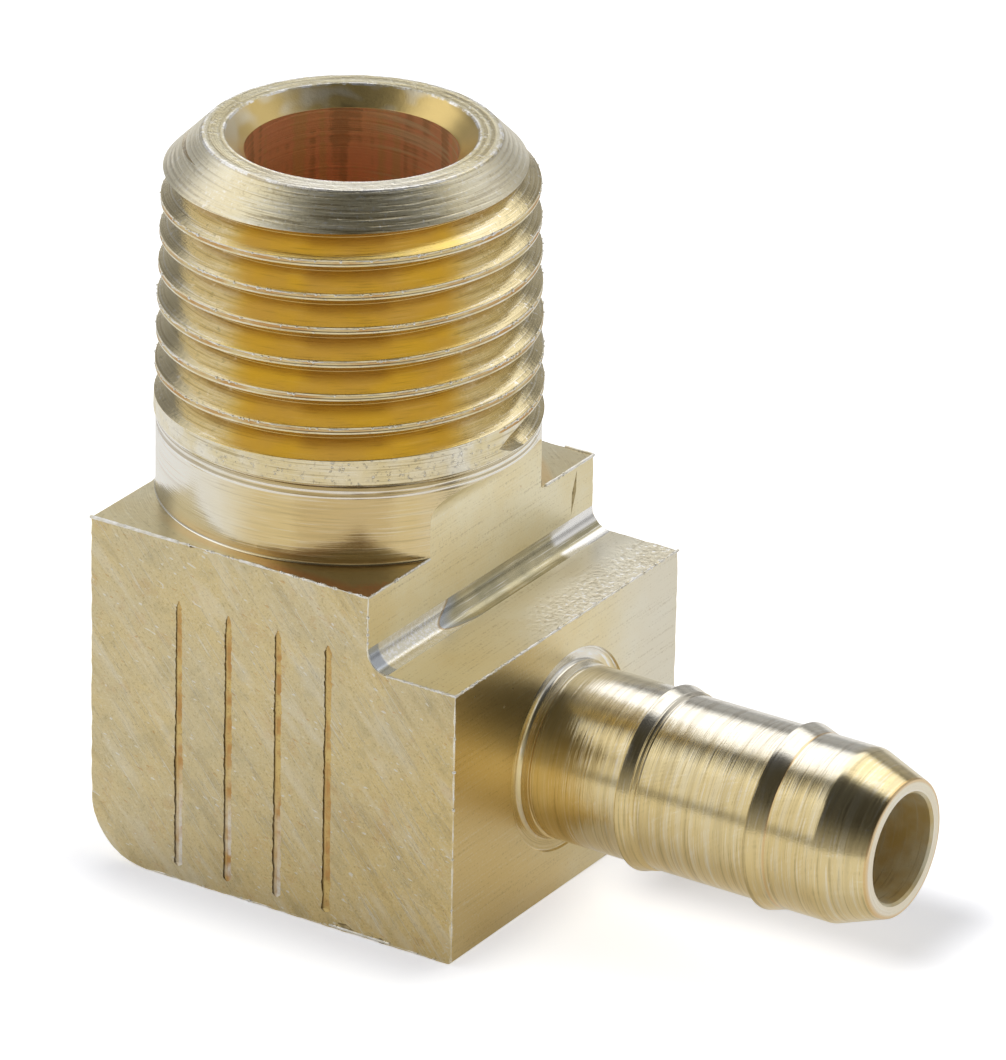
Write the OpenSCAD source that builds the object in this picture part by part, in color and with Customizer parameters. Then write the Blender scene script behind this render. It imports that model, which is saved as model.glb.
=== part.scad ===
// Barbed elbow for a small air or fuel line: a brass block with a tapered male pipe thread
// standing on it and a two-ridge hose barb pointing out of its side.
// It is one piece: extruded bar, sawn to width, turned on two axes and drilled from both ends.
// Units are millimetres. The origin is the foot of the thread axis on the bottom face.
// +Z runs up the thread and +X runs out along the barb.

/* [Block] */
// Width of the block between its two sawn faces
block_w = 11; // [10.8:0.1:14]
// How far the middle of that width lies in front of the turned axes
saw_offset = 0.15; // [0:0.05:0.2]
// Thread axis to the back face
back_x = 4.45; // [4.2:0.05:5]
// Thread axis to the step wall
step_x = 4.4; // [4.2:0.05:5]
// Thread axis to the face that carries the barb
face_x = 7.15; // [6.6:0.05:9]
// Height of the shoulder round the foot of the neck
shoulder_z = 10; // [9.4:0.1:12]
// Height of the shelf above the barb
shelf_z = 7.9; // [7.5:0.1:8.6]
// Radius of the rounded heel
heel_r = 1.8; // [0.5:0.1:2]
// Radius of the hollow corner at the foot of the step wall
step_r = 0.6; // [0.3:0.1:0.8]

/* [Scribed lines] */
// Number of upright lines scribed on the front sawn face
line_count = 4; // [2:1:4]
// Spacing of the scribed lines
line_pitch = 1.5875; // [1:0.0125:1.7]
// Thread axis to the first line, towards the back face
line_start = 1.6; // [1:0.1:2.5]
// Width of a scribed line at the surface
line_w = 0.14; // [0.1:0.02:0.3]
// Height of the lower ends of the lines
line_low = 0.4; // [0.3:0.1:1.2]
// Length of the lines
line_len = 7.9; // [4:0.1:8]

/* [Thread] */
// Crest diameter of the thread at the rim
thread_d = 9.96; // [9.8:0.02:10.1]
// Length of the thread from the rim down to the neck
thread_len = 7.85; // [5:0.05:10]
// Number of threads in one inch
threads_per_inch = 27; // [24:1:28]
// Depth of the thread
thread_depth = 0.64; // [0.4:0.02:0.68]
// Foot of the thread to the middle of the groove, at the groove's lower end
groove_start = 0.25; // [0.2:0.05:0.6]
// Angle of that lower end, counted from the barb
groove_angle = -7; // [-180:1:180]
// Outside diameter of the flat rim
rim_d = 7.92; // [7.4:0.02:8.6]
// Height of the plain neck between the shoulder and the thread
neck_h = 2.35; // [2.2:0.05:4]
// Step from the last crest of the thread in to the neck
neck_step = 0.055; // [0.03:0.005:0.2]

/* [Side flats] */
// Height above the shoulder of the flats that the bar leaves on the neck
flat_h = 1.1; // [0.6:0.1:1.3]
// Radius of the hollow in which each flat runs out
flare_r = 0.8; // [0.6:0.05:0.9]

/* [Barb] */
// Height of the barb axis above the bottom face
barb_z = 4.1; // [3.6:0.1:4.3]
// Diameter of the barb between its ridges
tube_d = 4.8; // [4.4:0.1:4.9]
// Diameter over the ridges
ridge_d = 5.14; // [5.04:0.02:5.4]
// Face of the block to the square back of the first ridge
ridge_start = 3.02; // [1:0.02:4]
// Spacing of the two ridges
ridge_pitch = 3.95; // [2:0.05:6]
// Length of the land on top of a ridge
ridge_land = 0.1; // [0.06:0.02:0.4]
// Length of the slope of a ridge, on the side of the nose
ridge_front = 0.46; // [0.3:0.02:0.8]
// Back of the second ridge to the end of the nose
nose_len = 3.4; // [3.1:0.1:6]
// Length of the cone on the nose
nose_cone = 1.4; // [0.6:0.1:1.7]
// Outside diameter of the flat end of the nose
nose_d = 3.8; // [3.4:0.1:4.2]
// Diameter of the ring faced into the block round the barb
ring_d = 5.7; // [5.6:0.1:6]
// Depth of that ring
ring_depth = 0.08; // [0.04:0.02:0.2]
// Radius of the fillet at the root of the barb
root_r = 0.2; // [0.1:0.05:0.3]

/* [Bores] */
// Diameter of the bore through the thread
bore_d = 5.7; // [4.8:0.1:6]
// Diameter of the bore through the barb
barb_bore_d = 3; // [2:0.1:3.2]
// Diameter of the countersink at the rim
sink_d = 6.76; // [6.2:0.02:7]
// Depth of the countersink
sink_depth = 0.48; // [0.3:0.02:0.8]
// Point angle of the drill that made the wide bore
drill_angle = 118; // [90:1:140]

/* [Hidden] */

$fn = 96;
inch = 25.4;
arc_steps = 6;
// How far joined solids run into each other, and cuts run out into the open
overlap = 0.5;

// A pipe thread widens by one sixteenth of its length, and its flanks meet at 60 degrees
taper = 1 / 32;
flank_angle = 30;
pitch = inch / threads_per_inch;
root_flat = 0.04;
groove_half = thread_depth * tan(flank_angle) + root_flat / 2;
// How far the thread's cutter stands out of the crests
proud = 0.1;
// The groove runs in to its full depth over a short arc, then climbs until it is clear of the rim
run_in_angle = 12;
run_in_steps = 4;
turn_step = 10;
groove_turn = 360 * (thread_len - groove_start + groove_half + proud) / pitch;

neck_r = crest_r(thread_len) - neck_step;
neck_top = shoulder_z + neck_h;
rim_z = neck_top + thread_len;
flat_top = shoulder_z + flat_h;

front_y = -block_w / 2 - saw_offset;
rear_y = block_w / 2 - saw_offset;

tube_r = tube_d / 2;
ring_x = face_x - ring_depth;
ridge_backs = [for (i = [0, 1]) face_x + ridge_start + i * ridge_pitch];
nose_x = ridge_backs[1] + nose_len;

bore_r = bore_d / 2;
drill_tip = bore_r / tan(drill_angle / 2);

// Crest radius of the thread at a given depth below the rim
function crest_r(depth) = thread_d / 2 + depth * taper;

// How deep the groove is, after a given turn from its lower end
function groove_depth(turn) = thread_depth * sqrt(min(1, turn / run_in_angle));

// The cutter's section after a given turn, as four points round the groove
function cutter_section(turn) =
    let (
        z = neck_top + groove_start + pitch * turn / 360,
        outer = crest_r(rim_z - z) + proud,
        root = outer - proud - groove_depth(turn),
        mouth_half = root_flat / 2 + (outer - root) * tan(flank_angle),
        around = groove_angle + turn
    )
    [
        for (p = [[root, -root_flat / 2], [outer, -mouth_half], [outer, mouth_half], [root, root_flat / 2]])
            [p[0] * cos(around), p[0] * sin(around), z + p[1]]
    ];

// One ridge of the barb, square at its back and sloped to the nose, as [radius, distance]
function ridge(back) = [
    [tube_r, back],
    [ridge_d / 2, back],
    [ridge_d / 2, back + ridge_land],
    [tube_r, back + ridge_land + ridge_front]
];

// The fillet at the root of the barb, as [radius, distance]
root_fillet = [
    for (i = [0 : arc_steps])
        let (a = 90 * i / arc_steps)
            [tube_r + root_r * (1 - sin(a)), ring_x + root_r * (1 - cos(a))]
];

// What is left of a square corner outside a quarter circle
module corner(r) {
    difference() {
        square(r);
        translate([r, r])
            circle(r);
    }
}

// Draws a section in the plane of X and Z, and extrudes it across the width of the block
module across(from_y, to_y) {
    translate([0, to_y, 0])
        rotate([90, 0, 0])
            linear_extrude(to_y - from_y)
                children();
}

// Section of the block
module block_section() {
    difference() {
        polygon([
            [-back_x, 0],
            [face_x, 0],
            [face_x, shelf_z],
            [step_x, shelf_z],
            [step_x, shoulder_z],
            [-back_x, shoulder_z]
        ]);
        translate([-back_x, 0])
            corner(heel_r);
    }
    translate([step_x, shelf_z])
        corner(step_r);
}

// Section of the bar above the shoulder, where it widens from the block to the thread
module upright_section() {
    wide = crest_r(thread_len) + flare_r;
    flare_z = flat_top + flare_r;
    translate([-back_x, shoulder_z - 2 * overlap])
        square([back_x + step_x, flare_z - shoulder_z + 3 * overlap]);
    translate([-wide, flare_z])
        square([2 * wide, rim_z - flare_z + overlap]);
    translate([step_x, flare_z])
        mirror([0, 1])
            corner(flare_r);
    translate([-back_x, flare_z])
        rotate(180)
            corner(flare_r);
}

module block() {
    difference() {
        across(front_y, rear_y)
            block_section();
        translate([ring_x, 0, barb_z])
            rotate([0, 90, 0])
                cylinder(d = ring_d, h = ring_depth + overlap);
        scribed_lines();
    }
}

// Fine V-shaped lines cut into the front face, with a right angle at the bottom of each
module scribed_lines() {
    half = line_w / 2;
    for (i = [0 : line_count - 1])
        translate([i * line_pitch - line_start, front_y, line_low])
            linear_extrude(line_len)
                polygon([[-line_w, -half], [0, half], [line_w, -half]]);
}

// The right-hand groove of the thread: its section, swept up a tapering helix and out past the rim
module thread_cutter() {
    turns = concat(
        [for (i = [1 : run_in_steps]) run_in_angle * pow(i / run_in_steps, 2)],
        [for (turn = [run_in_angle + turn_step : turn_step : groove_turn]) turn]
    );
    last = len(turns) - 1;
    polyhedron(
        points = [for (turn = turns) each cutter_section(turn)],
        faces = concat(
            [[3, 2, 1, 0]],
            [
                for (i = [0 : last - 1], k = [0 : 3])
                    let (next = (k + 1) % 4)
                        [4 * i + k, 4 * i + next, 4 * (i + 1) + next, 4 * (i + 1) + k]
            ],
            [[for (k = [0 : 3]) 4 * last + k]]
        )
    );
}

// Neck, tapered thread and 45 degree chamfer, turned out of the upright part of the bar
module threaded_stub() {
    clear_r = neck_r + overlap;
    intersection() {
        difference() {
            rotate_extrude()
                difference() {
                    polygon([
                        [0, shoulder_z - overlap],
                        [neck_r, shoulder_z - overlap],
                        [neck_r, neck_top - neck_step],
                        [neck_r + neck_step, neck_top],
                        [crest_r(0), rim_z],
                        [0, rim_z]
                    ]);
                    polygon([
                        [rim_d / 2 - overlap, rim_z + overlap],
                        [clear_r, rim_z + overlap],
                        [clear_r, rim_z + rim_d / 2 - clear_r]
                    ]);
                }
            thread_cutter();
        }
        across(-clear_r, clear_r)
            upright_section();
    }
}

// Two low ridges and a coned nose on a plain tube, turned about the barb axis
module hose_barb() {
    translate([0, 0, barb_z])
        rotate([0, 90, 0])
            rotate_extrude()
                polygon(concat(
                    [
                        [0, ring_x - overlap],
                        [tube_r + root_r, ring_x - overlap]
                    ],
                    root_fillet,
                    [for (back = ridge_backs) each ridge(back)],
                    [
                        [tube_r, nose_x - nose_cone],
                        [nose_d / 2, nose_x],
                        [0, nose_x]
                    ]
                ));
}

// The wide bore comes down from the rim to the barb axis, and the narrow one meets it
module bores() {
    rotate_extrude()
        polygon([
            [0, barb_z - drill_tip],
            [bore_r, barb_z],
            [bore_r, rim_z - sink_depth],
            [sink_d / 2, rim_z],
            [sink_d / 2, rim_z + overlap],
            [0, rim_z + overlap]
        ]);
    translate([0, 0, barb_z])
        rotate([0, 90, 0])
            cylinder(d = barb_bore_d, h = nose_x + overlap);
}

module barbed_elbow() {
    color([0.82, 0.74, 0.53])
        difference() {
            union() {
                block();
                threaded_stub();
                hose_barb();
            }
            bores();
        }
}

barbed_elbow();
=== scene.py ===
import math

import bmesh
import bpy
from mathutils import Matrix, Vector, noise


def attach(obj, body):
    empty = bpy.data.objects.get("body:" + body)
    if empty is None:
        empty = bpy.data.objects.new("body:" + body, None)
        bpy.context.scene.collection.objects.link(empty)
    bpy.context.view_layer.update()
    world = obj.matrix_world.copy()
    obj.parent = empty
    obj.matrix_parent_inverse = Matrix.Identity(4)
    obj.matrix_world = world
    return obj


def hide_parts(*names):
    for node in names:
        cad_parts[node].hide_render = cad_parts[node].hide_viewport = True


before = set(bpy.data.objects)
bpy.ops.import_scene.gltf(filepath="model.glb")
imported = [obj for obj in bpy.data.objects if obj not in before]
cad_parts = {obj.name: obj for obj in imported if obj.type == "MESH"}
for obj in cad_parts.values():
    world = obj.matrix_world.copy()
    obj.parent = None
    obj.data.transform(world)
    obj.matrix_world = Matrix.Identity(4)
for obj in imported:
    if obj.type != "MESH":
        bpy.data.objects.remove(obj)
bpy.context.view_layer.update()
print("frame loaded")

mm = 0.001
fullTurn = 2 * math.pi
flankAngle = math.radians(30)  # a pipe thread's flanks meet at 60 degrees


# Shader and shape maths

class Wire:  # one output of a node, so that maths on it reads as a sum
    def __init__(self, graph, node, socket):
        self.graph = graph
        self.node = node
        self.socket = socket

    def other(self, name):
        return Wire(self.graph, self.node, self.node.outputs[name])

    def __add__(self, other):
        return self.graph.maths("ADD", self, other)

    def __radd__(self, other):
        return self.graph.maths("ADD", other, self)

    def __sub__(self, other):
        return self.graph.maths("SUBTRACT", self, other)

    def __rsub__(self, other):
        return self.graph.maths("SUBTRACT", other, self)

    def __mul__(self, other):
        return self.graph.maths("MULTIPLY", self, other)

    def __rmul__(self, other):
        return self.graph.maths("MULTIPLY", other, self)

    def __truediv__(self, other):
        return self.graph.maths("DIVIDE", self, other)

    def __abs__(self):
        return self.graph.maths("ABSOLUTE", self)

    def __pow__(self, other):
        return self.graph.maths("POWER", self, other)


class Graph:  # a node tree that is being filled
    def __init__(self, tree):
        self.tree = tree

    def make(self, kind, settings=None, inputs=None, out=0):
        node = self.tree.nodes.new(kind)
        for key, value in (settings or {}).items():
            setattr(node, key, value)
        for key, value in (inputs or {}).items():
            if isinstance(value, Wire):
                self.tree.links.new(value.socket, node.inputs[key])
            else:
                node.inputs[key].default_value = value
        return Wire(self, node, node.outputs[out] if node.outputs else None)

    def maths(self, operation, *values):
        return self.make("ShaderNodeMath", {"operation": operation}, dict(enumerate(values)))

    def dot(self, first, second):
        settings = {"operation": "DOT_PRODUCT"}
        return self.make("ShaderNodeVectorMath", settings, {0: first, 1: second}, "Value")

    def smooth(self, value, low, high, top=1.0):  # 0 below low, top above high, eased between
        inputs = {"Value": value, "From Min": low, "From Max": high, "To Max": top}
        return self.make("ShaderNodeMapRange", {"interpolation_type": "SMOOTHSTEP"}, inputs)

    def blend(self, factor, first, second):
        inputs = {0: factor, 6: first, 7: second}
        return self.make("ShaderNodeMix", {"data_type": "RGBA"}, inputs, 2)

    def speckle(self, vector, scale, detail=2.0, roughness=0.5, spread=1.0):
        inputs = {"Vector": vector, "Scale": scale, "Detail": detail, "Roughness": roughness}
        value = self.make("ShaderNodeTexNoise", None, inputs)
        return (value - 0.5) * spread

    def vector(self, x, y, z):
        return self.make("ShaderNodeCombineXYZ", None, {0: x, 1: y, 2: z})

    def turned(self, vector, angles, stretch):  # a pattern's own axes, turned and drawn out
        settings = {"vector_type": "TEXTURE"}
        inputs = {"Vector": vector, "Rotation": angles, "Scale": stretch}
        return self.make("ShaderNodeMapping", settings, inputs)


# Shapes, drawn in millimetres and brought to metres at the end

def tidyMesh(mesh):  # joins doubles and turns every face outward
    shape = bmesh.new()
    shape.from_mesh(mesh)
    bmesh.ops.remove_doubles(shape, verts=shape.verts, dist=1e-6)
    bmesh.ops.recalc_face_normals(shape, faces=shape.faces)
    shape.to_mesh(mesh)
    shape.free()


def addObject(name, data):
    piece = bpy.data.objects.new(name, data)
    bpy.context.scene.collection.objects.link(piece)
    return piece


def newPiece(name, points, faces, finishNames, faceFinish=None):
    mesh = bpy.data.meshes.new(name)
    mesh.from_pydata(points, [], faces)
    for finish in finishNames:
        mesh.materials.append(finishes[finish])
    if faceFinish:
        mesh.polygons.foreach_set("material_index", faceFinish)
    tidyMesh(mesh)
    return addObject(name, mesh)


def settle(piece):  # replaces a piece's mesh by what its modifiers make of it
    graph = bpy.context.evaluated_depsgraph_get()
    mesh = bpy.data.meshes.new_from_object(piece.evaluated_get(graph))
    piece.modifiers.clear()
    piece.data = mesh
    return piece


def combine(piece, tool, operation):
    modifier = piece.modifiers.new("combine", "BOOLEAN")
    modifier.operation = operation
    modifier.solver = "MANIFOLD"
    modifier.material_mode = "TRANSFER"
    modifier.object = tool
    settle(piece)
    bpy.data.objects.remove(tool)
    return piece


# The line through corners given as (x, y, radius), with each corner rounded by an arc.
# Each point comes back with the number of its corner.
def rounded(corners, step=math.radians(9)):
    line = []
    count = len(corners)
    for i, (x, y, radius) in enumerate(corners):
        here = Vector((x, y))
        if radius <= 0:
            line.append((x, y, i))
            continue
        before = (Vector(corners[i - 1][:2]) - here).normalized()
        after = (Vector(corners[(i + 1) % count][:2]) - here).normalized()
        half = before.angle(after) / 2
        centre = here + (before + after).normalized() * (radius / math.sin(half))
        start = here + before * (radius / math.tan(half)) - centre
        sweep = math.pi - 2 * half
        side = 1 if before.x * after.y - before.y * after.x < 0 else -1
        pieces = max(2, math.ceil(sweep / step))
        for k in range(pieces + 1):
            spot = centre + Matrix.Rotation(side * sweep * k / pieces, 2) @ start
            line.append((spot.x, spot.y, i))
    return line


# Corners given as (distance from the axis, distance along it, radius, finish of the stretch up to the next
# corner), rounded and turned about Z
def revolve(name, corners, steps, finishNames):
    outline = rounded([corner[:3] for corner in corners])
    rows = len(outline)
    points = []
    for k in range(steps):
        angle = fullTurn * k / steps
        points += [(r * math.cos(angle), r * math.sin(angle), h) for r, h, corner in outline]
    faces, faceFinish = [], []
    for k in range(steps):
        here, there = k * rows, (k + 1) % steps * rows
        for j in range(rows):
            after = (j + 1) % rows
            faces.append((here + j, there + j, there + after, here + after))
            corner = corners[outline[j][2]]
            faceFinish.append(finishNames.index(corner[3]) if len(corner) > 3 else 0)
    return newPiece(name, points, faces, finishNames, faceFinish)


# Lays what was turned about Z along the barb
def alongBarb(piece):
    piece.data.transform(Matrix.Translation((0, 0, barb["axisZ"])) @ Matrix.Rotation(math.pi / 2, 4, "Y"))
    return piece


# The block: extruded bar, sawn across at the front and the rear

block = {
    "frontY": -5.65,
    "rearY": 5.35,
    "backX": -4.45,
    "stepX": 4.4,
    "faceX": 7.15,
    "shoulderZ": 10.0,
    "shelfZ": 7.9,
    "heelRadius": 1.8,
    "toeRadius": 0.14,
    "stepRadius": 0.6,
    "edgeRadius": 0.05,
    "edgeRoll": 0.035,  # how far the sawn edges are rolled over
    "edgeChance": 0.045,  # and how much of that is up to chance
    "rollSteps": 6,
    "pointSpacing": 0.14,
}


def blockOutline():
    edge = block["edgeRadius"]
    corners = [  # each with the finish of its arc and of the stretch after it
        (block["backX"], 0.0, block["heelRadius"], "drawn", "drawn"),
        (block["faceX"], 0.0, block["toeRadius"], "drawn", "drawn"),
        (block["faceX"], block["shelfZ"], edge, "edge", "drawn"),
        (block["stepX"], block["shelfZ"], block["stepRadius"], "hollow", "drawn"),
        (block["stepX"], block["shoulderZ"], edge, "edge", "faced"),
        (block["backX"], block["shoulderZ"], edge, "edge", "drawn"),
    ]
    line = rounded([corner[:3] for corner in corners])
    points, kinds = [], []
    for i, (x, z, corner) in enumerate(line):
        nextX, nextZ, nextCorner = line[(i + 1) % len(line)]
        kind = corners[corner][3 if corner == nextCorner else 4]
        pieces = max(1, round(math.hypot(nextX - x, nextZ - z) / block["pointSpacing"]))
        for k in range(pieces):
            t = k / pieces
            points.append(Vector((x + (nextX - x) * t, z + (nextZ - z) * t)))
            kinds.append(kind)
    return points, kinds


def edgeRollAt(x, y, z):
    spot = Vector((x, y, z))
    chance = noise.noise(spot * 2.3) + 0.6 * noise.noise(spot * 7)
    return max(0.012, block["edgeRoll"] + block["edgeChance"] * chance)


def makeBlock():
    points, kinds = blockOutline()
    count, steps = len(points), block["rollSteps"]
    inward = []
    for i in range(count):
        along = points[(i + 1) % count] - points[i - 1]
        inward.append(Vector((-along.y, along.x)).normalized())

    def ringOf(y, side, k):  # one ring of the rolled edge, from the sawn face round to the long sides
        angle = math.pi / 2 * k / steps
        ring = []
        for point, push in zip(points, inward):
            roll = edgeRollAt(point.x, y, point.y)
            spot = point + push * (roll * (1 - math.sin(angle)))
            ring.append((spot.x, y + side * roll * (1 - math.cos(angle)), spot.y))
        return ring

    rings = [ringOf(block["frontY"], 1, k) for k in range(steps + 1)]
    rings += [ringOf(block["rearY"], -1, k) for k in range(steps, -1, -1)]
    names = ["sawn", "drawn", "faced", "edge", "hollow"]
    vertices = [point for ring in rings for point in ring]
    faces = [tuple(range(count)), tuple(range(len(vertices) - count, len(vertices)))]
    faceFinish = [0, 0]
    for k in range(len(rings) - 1):
        for i in range(count):
            here, after = k * count + i, k * count + (i + 1) % count
            faces.append((here, after, after + count, here + count))
            faceFinish.append(names.index(kinds[i] if k == steps else "edge"))
    return newPiece("block", vertices, faces, names, faceFinish)


# The threaded stub

stub = {
    "rimZ": 20.2,
    "crestAtRim": 4.98,
    "taper": 1 / 32,
    "threadLength": 7.85,
    "neckStep": 0.06,
    "stepHeight": 0.11,
    "rimRadius": 3.96,
    "sinkRadius": 3.38,
    "sinkDepth": 0.48,
    "rimRound": 0.05,
    "rootRound": 0.09,
    "sunk": 0.5,
    "steps": 288,
    "flatHeight": 1.1,
    "flareRadius": 0.8,
    "clear": 7.0,
}


def crestRadius(depth):
    return stub["crestAtRim"] + depth * stub["taper"]


def makeStub():
    rimZ, footZ = stub["rimZ"], stub["rimZ"] - stub["threadLength"]
    lowZ = block["shoulderZ"] - stub["sunk"]
    rootZ = block["shoulderZ"] - 0.02
    crest = crestRadius(stub["threadLength"])
    neck = crest - stub["neckStep"]
    chamferDepth = (crestRadius(0) - stub["rimRadius"]) / (1 - stub["taper"])
    root = stub["rootRound"]
    corners = [
        (0, lowZ, 0, "turned"),
        (neck + root, lowZ, 0, "turned"),
        (neck + root, rootZ, 0, "turned"),
        (neck, rootZ, root, "turned"),
        (neck, footZ - stub["stepHeight"], 0.02, "turned"),
        (crest, footZ, 0.03, "crest"),
        (crestRadius(chamferDepth), rimZ - chamferDepth, 0.06, "conical"),
        (stub["rimRadius"], rimZ, stub["rimRound"], "conical"),
        (stub["sinkRadius"] - 0.3, rimZ, 0, "conical"),
        (0, rimZ, 0, "conical"),
    ]
    return revolve("threaded_stub", corners, stub["steps"], ["turned", "conical", "crest"])


# The bar's section above the shoulder, with the hollows in which its flats run out
def makeUpright():
    low, flare, wide = block["shoulderZ"] - 2 * stub["sunk"], stub["flareRadius"], stub["clear"]
    top, high = block["shoulderZ"] + stub["flatHeight"] + flare, stub["rimZ"] + 1
    arcSteps = 12
    turns = [math.pi / 2 * k / arcSteps for k in range(arcSteps + 1)]
    arc = [(flare * (1 - math.cos(a)), top - flare * (1 - math.sin(a))) for a in turns]
    outline = [(block["backX"], low), (block["stepX"], low)]
    outline += [(block["stepX"] + out, z) for out, z in arc]
    outline += [(wide, top), (wide, high), (-wide, high), (-wide, top)]
    outline += [(block["backX"] - out, z) for out, z in reversed(arc)]
    count = len(outline)
    points = [(x, y, z) for y in (-wide, wide) for x, z in outline]
    faces = [tuple(range(count)), tuple(range(count, 2 * count))]
    faces += [(i, (i + 1) % count, count + (i + 1) % count, count + i) for i in range(count)]
    return newPiece("upright_section", points, faces, ["drawn"])


# The pipe thread: a groove of 60 degrees, and a shallow channel that leaves two lips on its crest

thread = {
    "pitch": 25.4 / 27,
    "depth": 0.64,
    "rootFlat": 0.012,
    "edgeRound": 0.02,
    "proud": 0.3,
    "lowZ": 12.6,  # middle of the groove at its lower end
    "startAngle": math.radians(-7),
    "turns": 8.6,
    "stepsPerTurn": 144,
    "runIn": 12 / 360,  # part of a turn over which the tool goes in
    "ragged": 0.035,  # share of the groove's width by which its edges wander
    "channelDepth": 0.014,
    "channelWidth": 0.085,
}


# Half of a groove's section, as (distance from its bottom, distance from its middle), from the bottom up
def grooveHalf():
    depth, flat, edge = thread["depth"], thread["rootFlat"] / 2, thread["edgeRound"]
    half = [(0.0, flat), (flat * 2, flat * 2.2)]
    centreV = depth * math.tan(flankAngle) + flat + edge * math.tan(flankAngle)
    for k in range(5):
        angle = -math.radians(60 - 13 * k)  # the arc leaves the flank and all but reaches the crest
        half.append((depth - edge + edge * math.cos(angle), centreV + edge * math.sin(angle)))
    half.append((depth + thread["proud"], centreV + 0.006))
    return half


def channelHalf():
    wide, deep = thread["channelWidth"] / 2, thread["channelDepth"]
    return [(0.0, wide * 0.5), (deep * 0.4, wide * 0.8), (deep, wide), (deep * 4, wide * 2)]


def sectionPiece(name, half):
    points = [(u - v * stub["taper"], -v, 0) for u, v in half]
    points += [(u + v * stub["taper"], v, 0) for u, v in reversed(half)]
    mesh = bpy.data.meshes.new(name)
    mesh.from_pydata(points, [(i, (i + 1) % len(points)) for i in range(len(points))], [])
    return addObject(name, mesh)


def newTree(name, numbers, others):
    tree = bpy.data.node_groups.new(name, "GeometryNodeTree")
    tree.interface.new_socket("Geometry", in_out="INPUT", socket_type="NodeSocketGeometry")
    tree.interface.new_socket("Geometry", in_out="OUTPUT", socket_type="NodeSocketGeometry")
    for number in numbers:
        tree.interface.new_socket(number, in_out="INPUT", socket_type="NodeSocketFloat")
    for other, kind in others.items():
        tree.interface.new_socket(other, in_out="INPUT", socket_type="NodeSocket" + kind)
    graph = Graph(tree)
    return tree, graph, graph.make("NodeGroupInput")


# Ends a tree: its instances made real and given their finish
def endTree(graph, geometry, finish):
    real = graph.make("GeometryNodeRealizeInstances", None, {"Geometry": geometry})
    dressed = graph.make("GeometryNodeSetMaterial", None, {"Geometry": real, "Material": finish})
    graph.make("NodeGroupOutput", None, {0: dressed})


# Sweeps a section up a tapering helix
def helixTree():
    numbers = ["Pitch", "Radius", "Taper", "Low height", "Start angle", "Turns", "Run-in", "Depth", "Ragged"]
    tree, graph, given = newTree("helix_sweep", numbers, {
        "Steps per turn": "Int",
        "Section": "Object",
        "Finish": "Material",
    })
    size = given.other
    steps = size("Turns") * size("Steps per turn")
    line = graph.make("GeometryNodeMeshLine", {"mode": "OFFSET"}, {"Count": steps})
    turn = graph.make("GeometryNodeInputIndex") / size("Steps per turn")
    angle = size("Start angle") + turn * fullTurn
    entered = graph.maths("MINIMUM", turn / size("Run-in"), 1.0) ** 0.5
    climbed = turn * size("Pitch")
    radius = size("Radius") - climbed * size("Taper") + (1 - entered) * size("Depth")
    place = graph.vector(
        radius * graph.maths("COSINE", angle),
        radius * graph.maths("SINE", angle),
        size("Low height") + climbed,
    )
    helix = graph.make("GeometryNodeSetPosition", None, {"Geometry": line, "Position": place})
    path = graph.make("GeometryNodeMeshToCurve", None, {"Mesh": helix})
    path = graph.make("GeometryNodeSetCurveNormal", {"mode": "Z_UP"}, {"Curve": path})
    section = graph.make("GeometryNodeObjectInfo", None, {"Object": size("Section")}, "Geometry")
    section = graph.make("GeometryNodeMeshToCurve", None, {"Mesh": section})
    spot = graph.make("GeometryNodeInputPosition")
    wander = graph.speckle(spot, 0.9, 4.0, 0.7)
    inputs = {
        "Curve": path,
        "Profile Curve": section,
        "Scale": 1 + wander * size("Ragged"),
        "Fill Caps": True,
    }
    endTree(graph, graph.make("GeometryNodeCurveToMesh", None, inputs), size("Finish"))
    return tree


# Gives a piece a node tree, sets the tree's inputs by their identifiers and keeps the result as a mesh
def grow(name, tree, values):
    piece = addObject(name, bpy.data.meshes.new(name))
    modifier = piece.modifiers.new("grow", "NODES")
    modifier.node_group = tree
    for item in tree.interface.items_tree:
        if item.item_type == "SOCKET" and item.in_out == "INPUT" and item.name in values:
            modifier[item.identifier] = values[item.name]
    settle(piece)
    tidyMesh(piece.data)
    return piece


def makeHelix(name, half, lowZ, bottomDepth, finish):
    section = sectionPiece(name + "_section", half)
    helix = grow(name, helixTree(), {
        "Pitch": thread["pitch"],
        "Radius": crestRadius(stub["rimZ"] - lowZ) - bottomDepth,
        "Taper": stub["taper"],
        "Low height": lowZ,
        "Start angle": thread["startAngle"],
        "Turns": thread["turns"],
        "Run-in": thread["runIn"],
        "Depth": bottomDepth,
        "Ragged": thread["ragged"],
        "Steps per turn": thread["stepsPerTurn"],
        "Section": section,
        "Finish": finishes[finish],
    })
    bpy.data.objects.remove(section)
    return helix


def makeThread():
    body = makeStub()
    lowZ = thread["lowZ"]
    groove = makeHelix("thread_groove", grooveHalf(), lowZ, thread["depth"], "thread")
    combine(body, groove, "DIFFERENCE")
    crestZ = lowZ + thread["pitch"] / 2
    channel = makeHelix("crest_channel", channelHalf(), crestZ, thread["channelDepth"], "channel")
    combine(body, channel, "DIFFERENCE")
    return combine(body, makeUpright(), "INTERSECT")


# The hose barb

barb = {
    "axisZ": 4.1,
    "tubeRadius": 2.4,
    "ridgeRadius": 2.57,
    "ridgeBack": 10.17,
    "ridgePitch": 3.95,
    "ridgeLand": 0.1,
    "ridgeFront": 0.46,
    "noseX": 17.52,
    "noseCone": 1.4,
    "noseRadius": 1.9,
    "ringRadius": 2.85,
    "ringDepth": 0.08,
    "rootRound": 0.16,
    "rootGroove": (0.33, 0.45),  # where a narrow groove lies, from the faced ring
    "toolMark": 0.02,
    "digs": (0.38, 0.50),
    "boreRadius": 1.5,
    "steps": 216,
}


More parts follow.
